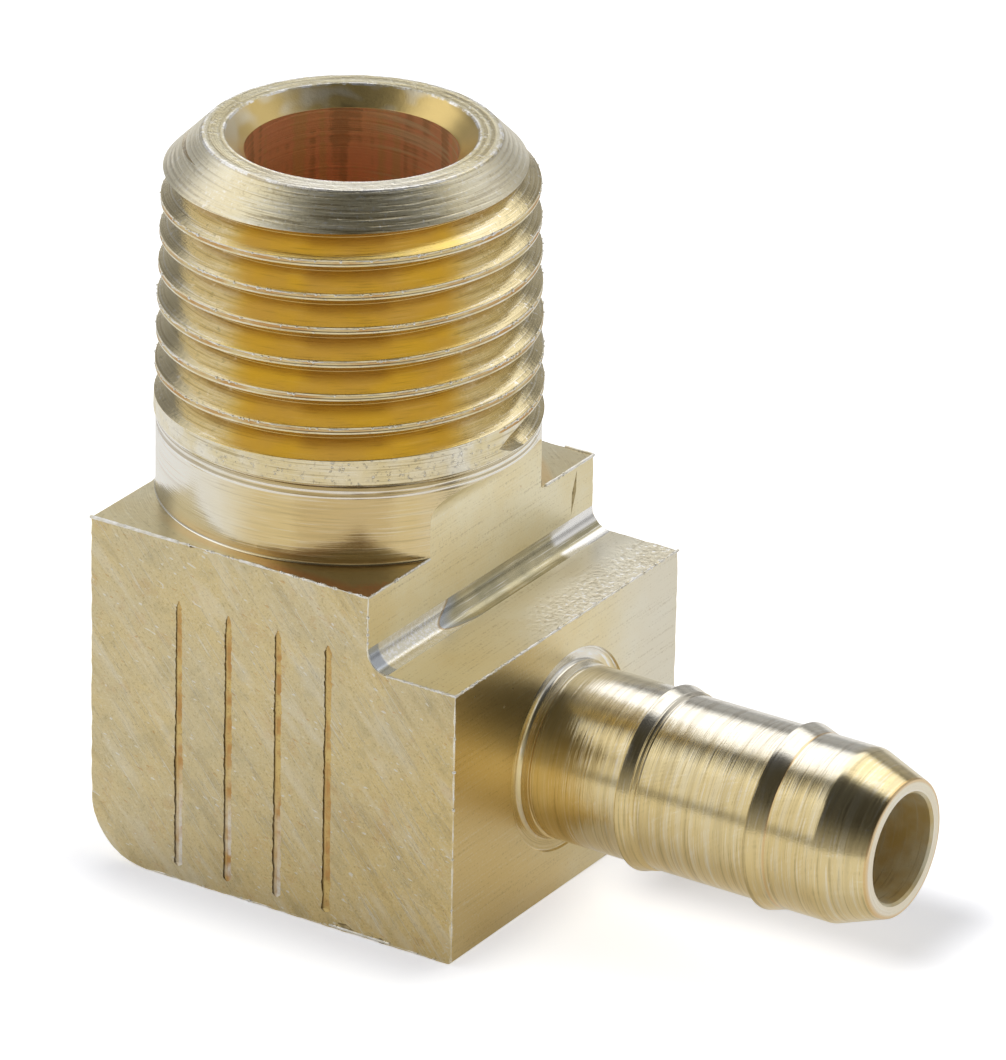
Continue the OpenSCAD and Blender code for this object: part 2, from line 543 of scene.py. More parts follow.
def makeBarb():
    tube, ridge = barb["tubeRadius"], barb["ridgeRadius"]
    ringX = block["faceX"] - barb["ringDepth"]
    mark = barb["toolMark"]
    grooveFrom, grooveTo = (ringX + reach for reach in barb["rootGroove"])
    corners = [
        (0, ringX - 0.5, 0),
        (tube + 0.3, ringX - 0.5, 0),
        (tube + 0.3, ringX - 0.01, 0),
        (tube + 0.02, ringX - 0.01, barb["rootRound"]),
        (tube + 0.02, grooveFrom, 0.01),
        (tube - mark * 2.5, grooveFrom + 0.03, 0.01),
        (tube - mark * 2.5, grooveTo - 0.03, 0.01),
        (tube, grooveTo, 0.01),
    ]
    for i in (0, 1):
        back = barb["ridgeBack"] + i * barb["ridgePitch"]
        foot = back + barb["ridgeLand"] + barb["ridgeFront"]
        corners += [
            (tube, back, 0.02),
            (ridge, back, 0.03),
            (ridge - mark, back + barb["ridgeLand"] * 0.8, 0.05),
        ]
        if i == 0:  # the tool dug in twice at the foot of the first ridge's slope
            slope = (ridge - tube) / (barb["ridgeLand"] + barb["ridgeFront"])
            for reach in barb["digs"]:
                surface = tube + slope * (foot - back - reach)
                corners += [
                    (surface, back + reach - 0.03, 0.01),
                    (surface - mark * 1.2, back + reach - 0.01, 0.005),
                    (surface - mark * 1.2, back + reach + 0.01, 0.005),
                    (surface + mark * 0.4, back + reach + 0.03, 0.01),
                ]
        corners.append((tube, foot, 0.03))
    corners += [
        (tube, barb["noseX"] - barb["noseCone"], 0.3),
        (barb["noseRadius"], barb["noseX"], 0.07),
        (0, barb["noseX"], 0),
    ]
    return alongBarb(revolve("hose_barb", corners, barb["steps"], ["barb"]))


def makeFacedRing():
    ringX = block["faceX"] - barb["ringDepth"]
    corners = [
        (0, ringX, 0),
        (barb["ringRadius"] - 0.03, ringX, 0.03),
        (barb["ringRadius"], block["faceX"], 0.01),
        (barb["ringRadius"] + 0.05, block["faceX"] + 0.05, 0),
        (0, block["faceX"] + 0.5, 0),
    ]
    return alongBarb(revolve("faced_ring", corners, barb["steps"], ["barb"]))


# The two bores, each with the fine ring that a deburring tool left at its mouth

bore = {
    "radius": 2.85,
    "drillAngle": math.radians(118),
    "mouthRound": 0.03,
    "barbMouth": 0.07,
    "steps": 216,
    "over": 0.04,
}


def makeWideBore():
    tip = bore["radius"] / math.tan(bore["drillAngle"] / 2)
    rimZ, sinkRadius, over = stub["rimZ"], stub["sinkRadius"], bore["over"]
    slope = (sinkRadius - bore["radius"]) / stub["sinkDepth"]
    corners = [
        (0, barb["axisZ"] - tip, 0, "bored"),
        (bore["radius"], barb["axisZ"], 0.05, "bored"),
        (bore["radius"], rimZ - stub["sinkDepth"], bore["mouthRound"], "conical"),
        (sinkRadius, rimZ, 0.04, "conical"),
        (sinkRadius + slope * over * 3, rimZ + over, 0, "conical"),
        (sinkRadius + slope * over * 3, rimZ + 1, 0, "conical"),
        (0, rimZ + 1, 0, "conical"),
    ]
    return revolve("wide_bore", corners, bore["steps"], ["bored", "conical"])


def makeNarrowBore():
    radius, noseX, mouth = barb["boreRadius"], barb["noseX"], bore["barbMouth"]
    corners = [
        (0, 0, 0),
        (radius, 0, 0),
        (radius, noseX - mouth, 0.02),
        (radius + mouth * 1.4, noseX + mouth * 0.4, 0),
        (radius + mouth * 1.4, noseX + 1, 0),
        (0, noseX + 1, 0),
    ]
    return alongBarb(revolve("narrow_bore", corners, bore["steps"], ["drilled"]))


# Four lines scribed on the front, each a shallow trough that widens towards its foot

scribe = {
    "lines": 4,
    "pitch": 1.5875,
    "start": -1.6,
    "lowZ": 0.42,
    "length": 7.86,
    "width": 0.19,
    "depth": 0.006,
    "flat": 0.7,  # share of the width that is flat bottom
    "proud": 0.05,
    "waver": 0.012,
    "thinned": 0.2,  # share of the width that a line has lost at its top
}


def scribeTree():
    numbers = ["Pitch", "Start", "Front", "Low height", "Length"]
    numbers += ["Width", "Depth", "Flat", "Proud", "Waver", "Thinned"]
    tree, graph, given = newTree("scribed_lines", numbers, {"Lines": "Int", "Finish": "Material"})
    size = given.other
    feet = graph.make("GeometryNodeMeshLine", {"mode": "OFFSET"}, {
        "Count": size("Lines"),
        "Start Location": graph.vector(size("Start"), size("Front"), size("Low height")),
        "Offset": graph.vector(size("Pitch"), 0.0, 0.0),
    })
    upright = graph.vector(0.0, 0.0, size("Length"))
    line = graph.make("GeometryNodeCurvePrimitiveLine", None, {"End": upright})
    line = graph.make("GeometryNodeResampleCurve", None, {"Curve": line, "Count": 200})
    lines = graph.make("GeometryNodeInstanceOnPoints", None, {"Points": feet, "Instance": line})
    lines = graph.make("GeometryNodeRealizeInstances", None, {"Geometry": lines})
    spot = graph.make("GeometryNodeInputPosition")
    lines = graph.make("GeometryNodeSetPosition", None, {
        "Geometry": lines,
        "Offset": graph.vector(graph.speckle(spot, 1.7, 3.0) * size("Waver") * 3, 0.0, 0.0),
    })
    sideways = graph.vector(1.0, 0.0, 0.0)
    lines = graph.make("GeometryNodeSetCurveNormal", {"mode": "FREE"}, {"Curve": lines, "Normal": sideways})
    half = size("Width") * 0.5
    wide = half * (1 + size("Proud") / size("Depth"))
    trough = graph.make("GeometryNodeCurvePrimitiveQuadrilateral", {"mode": "POINTS"}, {
        "Point 1": graph.vector(wide, size("Proud"), 0.0),
        "Point 2": graph.vector(half * size("Flat"), 0 - size("Depth"), 0.0),
        "Point 3": graph.vector(half * size("Flat") * -1, 0 - size("Depth"), 0.0),
        "Point 4": graph.vector(wide * -1, size("Proud"), 0.0),
    })
    along = graph.make("GeometryNodeSplineParameter", None, None, "Factor")
    ends = graph.smooth(along, 0.0, 0.01) * graph.smooth(along, 1.0, 0.97)
    bite = 0.85 + graph.speckle(spot, 0.9, 2.0) * 0.6 + graph.speckle(spot, 5.0, 3.0, 0.8) * 0.9
    scale = (bite - along * size("Thinned")) * (0.25 + ends * 0.75)
    inputs = {"Curve": lines, "Profile Curve": trough, "Scale": scale, "Fill Caps": True}
    endTree(graph, graph.make("GeometryNodeCurveToMesh", None, inputs), size("Finish"))
    return tree


def makeScribes():
    return grow("scribed_lines", scribeTree(), {
        "Lines": scribe["lines"],
        "Pitch": scribe["pitch"],
        "Start": scribe["start"],
        "Front": block["frontY"],
        "Low height": scribe["lowZ"],
        "Length": scribe["length"],
        "Width": scribe["width"],
        "Depth": scribe["depth"],
        "Flat": scribe["flat"],
        "Proud": scribe["proud"],
        "Waver": scribe["waver"],
        "Thinned": scribe["thinned"],
        "Finish": finishes["scribed"],
    })


# Knocks: each a small lozenge cut between two points of a face, given as the face, the points on it
# (along it and up), the width and the depth

knocks = {
    "wall_line": ("step", (4.50, 9.86), (4.25, 8.63), 0.2, 0.07),
    "flat_pit": ("step", (0.80, 10.72), (0.93, 10.76), 0.10, 0.07),
    "low_dent": ("front", (3.50, 0.22), (4.10, 0.12), 0.16, 0.07),
    "toe_dent": ("front", (4.65, 0.10), (5.20, 0.05), 0.16, 0.08),
    "top_nick": ("front", (-1.42, 9.98), (-1.02, 10.0), 0.09, 0.07),
    "face_pit_1": ("face", (-2.89, 7.01), (-2.81, 7.03), 0.07, 0.05),
    "face_pit_2": ("face", (-3.32, 6.63), (-3.22, 6.67), 0.08, 0.05),
    "face_pit_3": ("face", (-4.75, 7.50), (-4.65, 7.54), 0.07, 0.05),
}


def onBlock(face, along, z):
    if face == "front":
        return Vector((along, block["frontY"], z))
    return Vector((block[face + "X"], along, z))


def makeKnocks():
    points, faces = [], []
    for face, start, end, width, depth in knocks.values():
        first, last = onBlock(face, *start), onBlock(face, *end)
        out = Vector((0, -1, 0) if face == "front" else (1, 0, 0))
        middle, side = (first + last) / 2, (last - first).cross(out).normalized() * width / 2
        base = len(points)
        points += [first, middle + side, last, middle - side]
        points += [middle - out * depth, middle + out * 0.05]
        for k in range(4):
            faces += [(base + k, base + (k + 1) % 4, base + 4), (base + k, base + (k + 1) % 4, base + 5)]
    return newPiece("knocks", points, faces, ["knocked"])


# Smooth where the surface is, crisp at its edges, and flat on its flats
def finishNormals(piece, sharpAngle=math.radians(20)):
    mesh = piece.data
    mesh.polygons.foreach_set("use_smooth", [True] * len(mesh.polygons))
    shape = bmesh.new()
    shape.from_mesh(mesh)
    for edge in shape.edges:
        if len(edge.link_faces) == 2:
            edge.smooth = edge.calc_face_angle(math.pi) < sharpAngle
    shape.to_mesh(mesh)
    shape.free()
    modifier = piece.modifiers.new("normals", "WEIGHTED_NORMAL")
    modifier.keep_sharp = True
    modifier.weight = 50
    return settle(piece)


def makeElbow():
    elbow = makeBlock()
    combine(elbow, makeFacedRing(), "DIFFERENCE")
    combine(elbow, makeScribes(), "DIFFERENCE")
    combine(elbow, makeKnocks(), "DIFFERENCE")
    combine(elbow, makeThread(), "UNION")
    combine(elbow, makeBarb(), "UNION")
    combine(elbow, makeWideBore(), "DIFFERENCE")
    combine(elbow, makeNarrowBore(), "DIFFERENCE")
    elbow.name = "brass_elbow"
    finishNormals(elbow)
    elbow.data.name = "brass_elbow"
    elbow.data.transform(Matrix.Scale(mm, 4))
    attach(elbow, "root")
    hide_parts("barbed_elbow")
    return elbow


# Burrs: the thin roll and the crumbs that saw and die leave along an edge

burrs = {
    "spacing": 0.035,
    "rollRadius": 0.030,
    "crumb": 0.05,
    "seed": 4,
    "stepsPerTurn": 90,
    "aboveCrest": 0.055,  # middle of the crest to its upper lip
}


def edgePaths():  # each edge as its points and the share of its places that hold a crumb
    front, rear, top, shelf = block["frontY"], block["rearY"], block["shoulderZ"], block["shelfZ"]
    back, step, face, fillet = block["backX"], block["stepX"], block["faceX"], block["stepRadius"]
    return {
        "top_front": (((back, front, top), (step, front, top)), 0.5),
        "top_front_left": (((back, front, top), (back + 0.9, front, top)), 1.8),
        "top_front_crumbled": (((back + 0.9, front, top), (back + 2.8, front, top)), 1.0),
        "top_front_crumbs": (((0.35, front, top), (1.1, front, top)), 1.2),
        "step_front": (((step, front, top), (step, front, shelf + fillet)), 0.3),
        "shelf_front": (((step + fillet, front, shelf), (face, front, shelf)), 0.6),
        "front_corner": (((face, front, shelf), (face, front, 0.2)), 0.14),
        "shelf_side": (((face, front, shelf), (face, rear, shelf)), 0.55),
        "wall_top": (((step, front, top), (step, front + 2.9, top)), 0.6),
        "wall_top_far": (((step, rear - 2.4, top), (step, rear, top)), 0.9),
        "far_corner": (((step - 0.9, rear, top), (step, rear, top)), 0.9),
        "foot_front": (((back + 2, front, 0.05), (face - 0.2, front, 0.05)), 0.12),
        "foot_dents": (((3.3, front, 0.09), (5.2, front, 0.08)), 0.9),
    }


def threadPath():  # the upper lip of the crest, up to the chamfer
    points = []
    for k in range(int(thread["turns"] * burrs["stepsPerTurn"])):
        turn = k / burrs["stepsPerTurn"]
        depth = stub["rimZ"] - thread["lowZ"] - thread["pitch"] * (turn + 0.5) - burrs["aboveCrest"]
        radius = crestRadius(depth)
        if stub["rimRadius"] + depth < radius:
            break
        angle = thread["startAngle"] + fullTurn * turn
        points.append((radius * math.cos(angle), radius * math.sin(angle), stub["rimZ"] - depth))
    return points


# Sweeps a thin roll along edges and scatters crumbs on it, by a share held at each point
def burrTree():
    others = {"Edges": "Object", "Seed": "Int", "Finish": "Material"}
    tree, graph, given = newTree("edge_burrs", ["Spacing", "Roll radius", "Crumb"], others)
    size = given.other
    edges = graph.make("GeometryNodeObjectInfo", None, {"Object": size("Edges")}, "Geometry")
    path = graph.make("GeometryNodeMeshToCurve", None, {"Mesh": edges})
    inputs = {"Curve": path, "Length": size("Spacing")}
    path = graph.make("GeometryNodeResampleCurve", {"mode": "LENGTH"}, inputs)
    spot = graph.make("GeometryNodeInputPosition")
    share = graph.make("GeometryNodeInputNamedAttribute", {"data_type": "FLOAT"}, {"Name": "share"})
    wander = graph.make("ShaderNodeTexNoise", None, {"Vector": spot, "Scale": 3.0, "Detail": 3.0}, "Color")
    wander = graph.make("ShaderNodeVectorMath", {"operation": "SUBTRACT"}, {0: wander, 1: (0.5, 0.5, 0.5)})
    wander = graph.make("ShaderNodeVectorMath", {"operation": "SCALE"}, {0: wander, "Scale": 0.03})
    path = graph.make("GeometryNodeSetPosition", None, {"Geometry": path, "Offset": wander})
    inputs = {"Resolution": 6, "Radius": size("Roll radius")}
    around = graph.make("GeometryNodeCurvePrimitiveCircle", None, inputs)
    heavy = graph.smooth(graph.speckle(spot, 1.3, 3.0, 0.7) + share * 0.35, 0.0, 0.35)
    thickness = 0.05 + heavy * 1.2 + share * 0.3
    inputs = {"Curve": path, "Profile Curve": around, "Scale": thickness, "Fill Caps": True}
    roll = graph.make("GeometryNodeCurveToMesh", None, inputs)
    chance = graph.make("FunctionNodeRandomValue", {"data_type": "FLOAT"}, {"Seed": size("Seed")}, 1)
    inputs = {0: chance, 1: share * (0.3 + heavy * 0.7)}
    chosen = graph.make("FunctionNodeCompare", {"operation": "LESS_THAN"}, inputs)
    crumb = graph.make("GeometryNodeMeshIcoSphere", None, {"Radius": size("Crumb"), "Subdivisions": 1})
    sizes = {"Min": (0.35, 0.35, 0.35), "Max": (1.3, 1.3, 1.3), "Seed": 11}
    crumbs = graph.make("GeometryNodeInstanceOnPoints", None, {
        "Points": path,
        "Selection": chosen,
        "Instance": crumb,
        "Scale": graph.make("FunctionNodeRandomValue", {"data_type": "FLOAT_VECTOR"}, sizes),
    })
    both = graph.make("GeometryNodeJoinGeometry", None, {0: roll})
    tree.links.new(crumbs.socket, both.node.inputs[0])
    endTree(graph, both, size("Finish"))
    return tree


def makeBurrs():
    points, edges, shares = [], [], []
    for line, share in list(edgePaths().values()) + [(threadPath(), 0.2)]:
        base = len(points)
        points += line
        edges += [(base + k, base + k + 1) for k in range(len(line) - 1)]
        shares += [share] * len(line)
    mesh = bpy.data.meshes.new("edges")
    mesh.from_pydata(points, edges, [])
    mesh.attributes.new("share", "FLOAT", "POINT").data.foreach_set("value", shares)
    paths = addObject("edges", mesh)
    piece = grow("edge_burrs", burrTree(), {
        "Spacing": burrs["spacing"],
        "Roll radius": burrs["rollRadius"],
        "Crumb": burrs["crumb"],
        "Edges": paths,
        "Seed": burrs["seed"],
        "Finish": finishes["burr"],
    })
    bpy.data.objects.remove(paths)
    piece.data.polygons.foreach_set("use_smooth", [True] * len(piece.data.polygons))
    piece.data.transform(Matrix.Scale(mm, 4))
    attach(piece, "root")
    return piece


# Brass, in the finishes that the saw, the die and the lathe leave, with light and shade painted into them
# where noted

brass = {
    "clean": (0.80, 0.69, 0.42, 1),
    "warm": (0.76, 0.62, 0.33, 1),
    "sawn": (0.715, 0.605, 0.36, 1),
    "gold": (0.76, 0.57, 0.23, 1),
    "yellow": (0.80, 0.60, 0.17, 1),
    "pale": (0.88, 0.83, 0.69, 1),
    "silver": (0.88, 0.87, 0.84, 1),
    "white": (0.98, 0.96, 0.92, 1),
    "tarnish_and_shade": (0.34, 0.25, 0.11, 1),
    "olive": (0.42, 0.38, 0.24, 1),
    "bright": (0.90, 0.82, 0.58, 1),
    "straw": (0.87, 0.75, 0.46, 1),
    "rust": (0.60, 0.34, 0.12, 1),
    "umber": (0.48, 0.31, 0.11, 1),
    "scratch": (0.74, 0.50, 0.22, 1),
    "copper": (0.98, 0.52, 0.28, 1),
    "slate": (0.42, 0.46, 0.52, 1),
}


def brassFinish(name, draw):
    material = bpy.data.materials.new(name)
    material.use_nodes = True
    material.node_tree.nodes.clear()
    graph = Graph(material.node_tree)
    coords = graph.make("ShaderNodeTexCoord", None, None, "Object")
    place = graph.make("ShaderNodeVectorMath", {"operation": "SCALE"}, {0: coords, "Scale": 1 / mm})
    look = draw(graph, place)
    bump = graph.make("ShaderNodeBump", None, {"Height": look["height"], "Distance": look["depth"] * mm})
    inputs = {
        "Base Color": look["colour"],
        "Roughness": look["roughness"],
        "Metallic": look.get("metallic", 1.0),
        "Normal": bump,
    }
    shader = graph.make("ShaderNodeBsdfPrincipled", None, inputs)
    graph.make("ShaderNodeOutputMaterial", None, {"Surface": shader})
    return material


def axes(graph, place):
    parts = graph.make("ShaderNodeSeparateXYZ", None, {0: place}, "X")
    return parts, parts.other("Y"), parts.other("Z")


def hypotenuse(a, b):
    return (a * a + b * b) ** 0.5


# Soft patches of tone that every finish has, and its fine grain
def patches(graph, place, first, second, size=0.4, grain=9.0):
    broad = graph.smooth(graph.speckle(place, size, 3.0, 0.55), -0.16, 0.16)
    fine = graph.speckle(place, grain, 3.0, 0.7)
    return graph.blend(broad, brass[first], brass[second]), fine


# Paints shade into the hollows of a pattern and a highlight on its tops, each by a share
def shade(graph, colour, pattern, dark, light, top="pale"):
    colour = graph.blend(graph.smooth(pattern, -0.05, -0.21) * dark, colour, brass["tarnish_and_shade"])
    return graph.blend(graph.smooth(pattern, 0.05, 0.21) * light, colour, brass[top])


# Lines left by a cutting edge, with the given spacing along the work and length across it
def toolLines(graph, along, across, spacing, length, detail=2.0):
    line = graph.vector(along / spacing, across / length, 0.0)
    return graph.speckle(line, 1.0, detail, 0.65)


sawn = {
    "scratchAngle": math.radians(47),
    "scratches": (  # turn from the scratch angle, length, width and weight of each layer
        (0.0, 1.1, 0.03, 0.75),
        (0.16, 0.7, 0.025, 0.55),
        (-0.45, 2.0, 0.04, 0.35),
    ),
    "roughness": 0.38,
    "depth": 0.010,
}


def drawSawn(graph, place):
    tone, fine = patches(graph, place, "sawn", "warm", 0.5, 14.0)
    x, y, z = axes(graph, place)
    # Painted warm reflected light: more golden towards the lower right
    tone = graph.blend(graph.smooth(x - z, -5.0, 7.0) * 0.6, tone, brass["gold"])
    blotch = graph.speckle(place, 1.3, 3.0, 0.65)
    tone = graph.blend(graph.smooth(blotch, 0.06, 0.2) * 0.22, tone, brass["rust"])
    tone = graph.blend(graph.smooth(blotch, -0.04, -0.18) * 0.2, tone, brass["olive"])
    angle = sawn["scratchAngle"]
    height = fine * 1.9 + graph.speckle(place, 6.0, 2.0, 0.6) * 0.6
    for turn, length, width, weight in sawn["scratches"]:
        scratch = graph.turned(place, (0, angle + turn, 0), (length, 1.0, width))
        height = height + graph.speckle(scratch, 1.0, 2.0, 0.6) * weight
    soft = graph.speckle(graph.turned(place, (0, angle, 0), (2.5, 1.0, 0.45)), 1.0, 2.0)
    stray = graph.speckle(graph.turned(place, (0, angle + 0.06, 0), (1.6, 1.0, 0.03)), 1.0, 0.0)
    line = graph.smooth(stray, 0.20, 0.28)
    colour = shade(graph, tone, height * 0.5, 0.38, 0.4)
    colour = shade(graph, colour, soft, 0.2, 0.26)
    colour = graph.blend(line * 0.5, colour, brass["pale"])
    chip = graph.speckle(graph.turned(place, (0, angle - 0.5, 0), (0.22, 1.0, 0.07)), 1.0, 0.0)
    colour = graph.blend(graph.smooth(chip, 0.27, 0.33) * 0.6, colour, brass["silver"])
    colour = graph.blend(graph.smooth(chip, -0.29, -0.35) * 0.5, colour, brass["rust"])
    return {
        "colour": colour,
        "roughness": sawn["roughness"] + fine * 0.15,
        "height": height - line * 0.6,
        "depth": sawn["depth"],
    }


drawn = {
    "roughness": 0.31,
    "depth": 0.005,
    "roughFrom": (5.3, -2.2),  # where the worn patch on the shelf fades in, along X and Y
    "roughTo": (6.5, 0.6),
}


def drawDrawn(graph, place):
    tone, fine = patches(graph, place, "bright", "straw", 0.45, 13.0)
    x, y, z = axes(graph, place)
    dieLines = graph.speckle(graph.turned(place, (0, 0, 0), (0.06, 3.5, 0.06)), 1.0, 3.0, 0.7)
    grit = graph.speckle(place, 7.0, 2.0, 0.6)
    onShelf = graph.smooth(z, block["shelfZ"] - 0.03, block["shelfZ"] - 0.01)
    onShelf = onShelf * (1 - graph.smooth(z, block["shelfZ"] + 0.01, block["shelfZ"] + 0.03))
    worn = onShelf * graph.smooth(x, drawn["roughFrom"][0], drawn["roughTo"][0])
    worn = worn * graph.smooth(y, drawn["roughFrom"][1], drawn["roughTo"][1])
    height = dieLines + fine * 0.7 + worn * grit * 6.0
    # Painted sheen: the shelf paler towards the rear
    tone = graph.blend(onShelf * graph.smooth(y, -6.0, 1.0) * 0.5, tone, brass["silver"])
    # Painted reflection on the right face: gold towards the front, where it mirrors the barb, and silver
    # towards the rear
    onFace = graph.smooth(x, block["faceX"] - 0.03, block["faceX"] - 0.01)
    tone = graph.blend(onFace * graph.smooth(y, 3.5, -4.5) * 0.85, tone, brass["gold"])
    tone = graph.blend(onFace * graph.smooth(y, 0.5, 4.5) * 0.55, tone, brass["silver"])
    colour = shade(graph, tone, dieLines * 0.8 + fine * 0.7 + worn * grit, 0.34, 0.35)
    # Painted shade: darker towards the rear
    colour = graph.blend(graph.smooth(y, -1.0, 5.0) * 0.2, colour, brass["olive"])
    fleck = graph.smooth(grit + worn * 0.07, 0.16, 0.22) * (0.14 + worn * 0.86)
    colour = graph.blend(fleck, colour, brass["white"])
    pit = graph.smooth(graph.speckle(place, 8.0, 0.0), 0.32, 0.37)
    colour = graph.blend(pit * 0.4, colour, brass["rust"])
    return {
        "colour": colour,
        "roughness": drawn["roughness"] + fine * 0.12 + worn * 0.12,
        "height": height - pit,
        "depth": drawn["depth"],
    }


hollow = {
    "roughness": 0.2,
    "depth": 0.002,
    "front": -2.6,  # where the painted highlight at the front ends, and where the painted highlights at the rear start
    "rear": 3.1,
    "tip": -5.15,
}


# The corner between wall and shelf, its reflections painted: a painted highlight at both ends, and between
# them a painted reflection of the stub in olive and slate, with a dark painted edge
def drawHollow(graph, place):
    tone, fine = patches(graph, place, "olive", "clean", 0.8, 10.0)
    x, y, z = axes(graph, place)
    lines = graph.speckle(graph.turned(place, (0, 0, 0), (0.05, 2.2, 0.05)), 1.0, 2.0, 0.6)
    across = (x - block["stepX"]) / block["stepRadius"]
    end = y + graph.speckle(place, 1.4, 2.0) * 0.3 - (across - 0.42) * (across - 0.42) * 4
    front = graph.smooth(end, hollow["front"] + 0.03, hollow["front"] - 0.03)
    paintedStubReflection = graph.smooth(end, hollow["front"] + 0.8, hollow["front"]) - front
    rim = graph.smooth(abs(end - hollow["front"]), 0.1, 0.03)
    tip = graph.smooth(y, hollow["tip"] + 0.05, hollow["tip"] - 0.05)
    rear = graph.smooth(y, hollow["rear"], hollow["rear"] + 0.3)
    paintedHighlightBars = rear * (graph.smooth(across, 0.30, 0.2) + graph.smooth(across, 0.5, 0.62))
    colour = shade(graph, graph.blend(0.55, tone, brass["olive"]), lines, 0.25, 0.5, "white")
    bright = graph.blend(graph.smooth(fine, -0.02, 0.1), brass["pale"], brass["white"])
    # Painted highlight at the front, painted stub reflection behind it and at the tip, a painted dark edge
    # between, painted highlight bars at the rear
    colour = graph.blend(front, colour, bright)
    colour = graph.blend(paintedStubReflection * 0.85, colour, brass["slate"])
    colour = graph.blend(tip * 0.85, colour, brass["slate"])
    colour = graph.blend(rim * 0.6, colour, brass["umber"])
    colour = graph.blend(paintedHighlightBars, colour, brass["white"])
    return {
        "colour": colour,
        "metallic": 0.75,
        "roughness": hollow["roughness"] + fine * 0.1,
        "height": lines,
        "depth": hollow["depth"],
    }


turnedLook = {
    "roughness": 0.22,
    "depth": 0.0045,
    "fine": 0.05,
    "coarse": 0.15,
    "ringsZ": 12.15,  # fine rings below the thread
    "rings": 0.17,
}


cameraSideAzimuth = math.radians(-57.58)  # of the side of the thread that faces the camera, by which the finishes paint light and shade


def facing(x, y):  # 1 on that side of the thread, 0 a quarter turn from it
    return (x * math.cos(cameraSideAzimuth) + y * math.sin(cameraSideAzimuth)) / hypotenuse(x, y)


def rightOf(x, y):  # how far to the right of the thread's axis, seen from that side
    return y * math.cos(cameraSideAzimuth) - x * math.sin(cameraSideAzimuth)


def drawTurned(graph, place):
    tone, fine = patches(graph, place, "clean", "pale", 0.45, 12.0)
    x, y, z = axes(graph, place)
    # Painted reflection and shade, by the side that faces the camera: silver on the left, dark gold in the
    # middle and an umber band at the very front
    ahead = facing(x, y)
    middle = graph.smooth(ahead + graph.speckle(place, 1.0, 2.0) * 0.1, 0.74, 0.95)
    tone = graph.blend(0.35, tone, brass["pale"])
    tone = graph.blend(graph.smooth(rightOf(x, y), -2.5, -4.5) * 0.6, tone, brass["silver"])
    tone = graph.blend(middle * 0.8, tone, graph.blend(0.2, brass["gold"], brass["umber"]))
    front = graph.smooth(ahead + fine * 0.02, 0.955, 0.985)
    tone = graph.blend(front * 0.35, tone, brass["umber"])
    around = x * 0.8 + y * 0.6
    lines = toolLines(graph, z, around, turnedLook["fine"], 2.2)
    coarse = toolLines(graph, z, around, turnedLook["coarse"], 3.5, 1.0)
    nearFoot = graph.smooth(abs(z - turnedLook["ringsZ"]), 0.3, 0.2)
    rings = graph.maths("SINE", z * (fullTurn / turnedLook["rings"])) * nearFoot
    colour = shade(graph, tone, lines, 0.35, 0.35)
    colour = shade(graph, colour, coarse, 0.18, 0.2)
    colour = shade(graph, colour, rings * 0.3 + coarse * nearFoot, 0.6, 0.6, "white")
    return {
        "colour": colour,
        "roughness": turnedLook["roughness"] + lines * 0.12 + fine * 0.1,
        "height": lines + coarse * 0.5 + fine * 0.3 + rings * 1.5,
        "depth": turnedLook["depth"],
    }


def drawCrest(graph, place):  # what the die tore, bright and speckled
    tone, fine = patches(graph, place, "clean", "pale", 1.2, 12.0)
    x, y, z = axes(graph, place)
    # Painted reflection: warmer in the middle, on the side that faces the camera
    middle = graph.smooth(facing(x, y), 0.80, 0.95)
    tone = graph.blend(middle * 0.6, tone, brass["warm"])
    lines = toolLines(graph, z, x * 0.8 + y * 0.6, turnedLook["fine"], 2.5)
    torn = graph.smooth(graph.speckle(place, 8.0, 3.0, 0.7), 0.08, 0.2)
    colour = shade(graph, tone, lines * 1.3, 0.55, 0.45)
    colour = graph.blend(torn * 0.5, colour, brass["white"])
    return {"colour": colour, "roughness": 0.3 + fine * 0.2, "height": lines + torn * 2, "depth": 0.006}


def drawChannel(graph, place):
    tone, fine = patches(graph, place, "warm", "rust", 0.8, 12.0)
    return {"colour": tone, "roughness": 0.32 + fine * 0.2, "height": fine, "depth": 0.004}


conical = {
    "roughness": 0.33,
    "depth": 0.014,
    "spacing": 0.11,
    "feed": 0.13,
}


